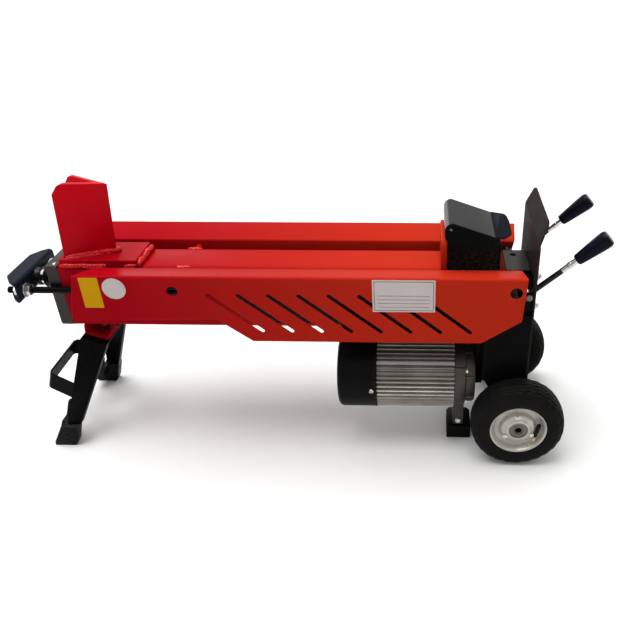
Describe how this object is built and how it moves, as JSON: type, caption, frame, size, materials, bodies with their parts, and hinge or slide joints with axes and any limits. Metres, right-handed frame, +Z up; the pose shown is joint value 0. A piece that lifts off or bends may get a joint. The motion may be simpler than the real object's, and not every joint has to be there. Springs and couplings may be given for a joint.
{
  "type": "log splitter",
  "caption": "Horizontal electric-hydraulic log splitter: a ram pulls a pusher along a red beam towards a fixed wedge, on transport wheels and a folding-style support leg.",
  "frame": {"origin": "on the floor below the middle of the machine's bounding box", "axes": "+X along the beam towards the wheels, motor end and levers, +Y across the machine away from the motor side, +Z up"},
  "size_m": [0.9375, 0.266, 0.4485],
  "materials": {
    "red_paint": "gloss",
    "black_paint": "semi-gloss",
    "grey_paint": "satin",
    "rim_paint": "gloss",
    "bare_aluminium": "as cast",
    "bright_steel": "zinc plated",
    "laminations": "varnished",
    "black_plastic": "satin",
    "grip_plastic": "gloss",
    "rubber": "matte",
    "tyre": "matte"
  },
  "bodies": {
    "chassis": {"main_beam": "red_paint", "cylinder_tube": "grey_paint", "front_cap": "bare_aluminium", "gland_nut": "black_paint", "small_screws": "bright_steel", "valve_block": "bare_aluminium", "oil_plug": "black_plastic", "wedge_base": "red_paint", "splitting_wedge": "red_paint", "weld_beads": "red_paint", "side_panel_near": "red_paint", "side_panel_far": "red_paint", "frame_bolts": "bright_steel", "end_plate": "black_paint", "wheel_bracket": "black_paint", "plate_bolts": "bright_steel", "wheel_axle": "bright_steel", "axle_clips": "bright_steel", "leg_bracket": "red_paint", "support_leg": "black_paint", "foot_caps": "black_plastic", "carry_handle": "black_paint", "motor_housing": "bare_aluminium", "stator": "laminations", "fan_cover": "black_plastic", "bell_housing": "bare_aluminium", "motor_foot": "black_plastic", "motor_bearings": "bright_steel", "capacitor_box": "black_plastic", "pump_housing": "black_paint", "control_valve": "bare_aluminium", "switch_box": "black_plastic", "cable_gland": "black_plastic", "lever_clevis": "bright_steel"},
    "ram": {"piston": "bright_steel", "piston_rod": "bright_steel", "ram_nuts": "bright_steel", "yoke": "black_paint", "tie_rods": "black_paint", "pusher_frame": "black_paint", "push_plate": "red_paint", "pusher_cover": "black_paint"},
    "wheel_near": {"tyre_near": "tyre", "rim_near": "rim_paint", "bearings_near": "bright_steel", "valve_stem_near": "rubber"},
    "wheel_far": {"tyre_far": "tyre", "rim_far": "rim_paint", "bearings_far": "bright_steel", "valve_stem_far": "rubber"},
    "lever_near": {"lever_near": "bright_steel", "grip_near": "grip_plastic"},
    "lever_far": {"lever_far": "bright_steel", "grip_far": "grip_plastic"},
    "valve_spool": {"valve_spool": "bright_steel"},
    "rotor": {"rotor_shaft": "bright_steel", "rotor_core": "laminations", "cooling_fan": "black_plastic", "drive_gear": "bright_steel"},
    "driven_gear": {"driven_gear": "bright_steel"}
  },
  "joints": [
    {"name": "ram_slide", "type": "slide", "parent": "chassis", "child": "ram", "axis": [-1, 0, 0], "range_m": [0, 0.39]},
    {"name": "wheel_near_spin", "type": "hinge", "parent": "chassis", "child": "wheel_near", "pos_m": [0.3469, -0.108, 0.0759], "axis": [0, 1, 0], "continuous": true},
    {"name": "wheel_far_spin", "type": "hinge", "parent": "chassis", "child": "wheel_far", "pos_m": [0.3469, 0.108, 0.0759], "axis": [0, 1, 0], "continuous": true},
    {"name": "lever_near_pull", "type": "hinge", "parent": "chassis", "child": "lever_near", "pos_m": [0.3522, -0.07, 0.2933], "axis": [0, 1, 0], "range_deg": [0, 14], "stiffness_Nm_per_rad": 2, "springref_deg": -5.73},
    {"name": "lever_far_pull", "type": "hinge", "parent": "chassis", "child": "lever_far", "pos_m": [0.37419, 0.07, 0.31296], "axis": [0, 1, 0], "range_deg": [0, 14], "stiffness_Nm_per_rad": 2, "springref_deg": -5.73},
    {"name": "spool_slide", "type": "slide", "parent": "chassis", "child": "valve_spool", "axis": [-1, 0, 0], "range_m": [0, 0.0065]},
    {"name": "rotor_spin", "type": "hinge", "parent": "chassis", "child": "rotor", "pos_m": [0.1612, -0.038, 0.127], "axis": [1, 0, 0], "continuous": true},
    {"name": "driven_gear_spin", "type": "hinge", "parent": "chassis", "child": "driven_gear", "pos_m": [0.3102, -0.038, 0.149], "axis": [1, 0, 0], "continuous": true}
  ],
  "couplings": [
    {"joint": "driven_gear_spin", "follows": "rotor_spin", "ratio": -1},
    {"joint": "spool_slide", "follows": "lever_near_pull", "m_per_rad": 0.025}
  ]
}
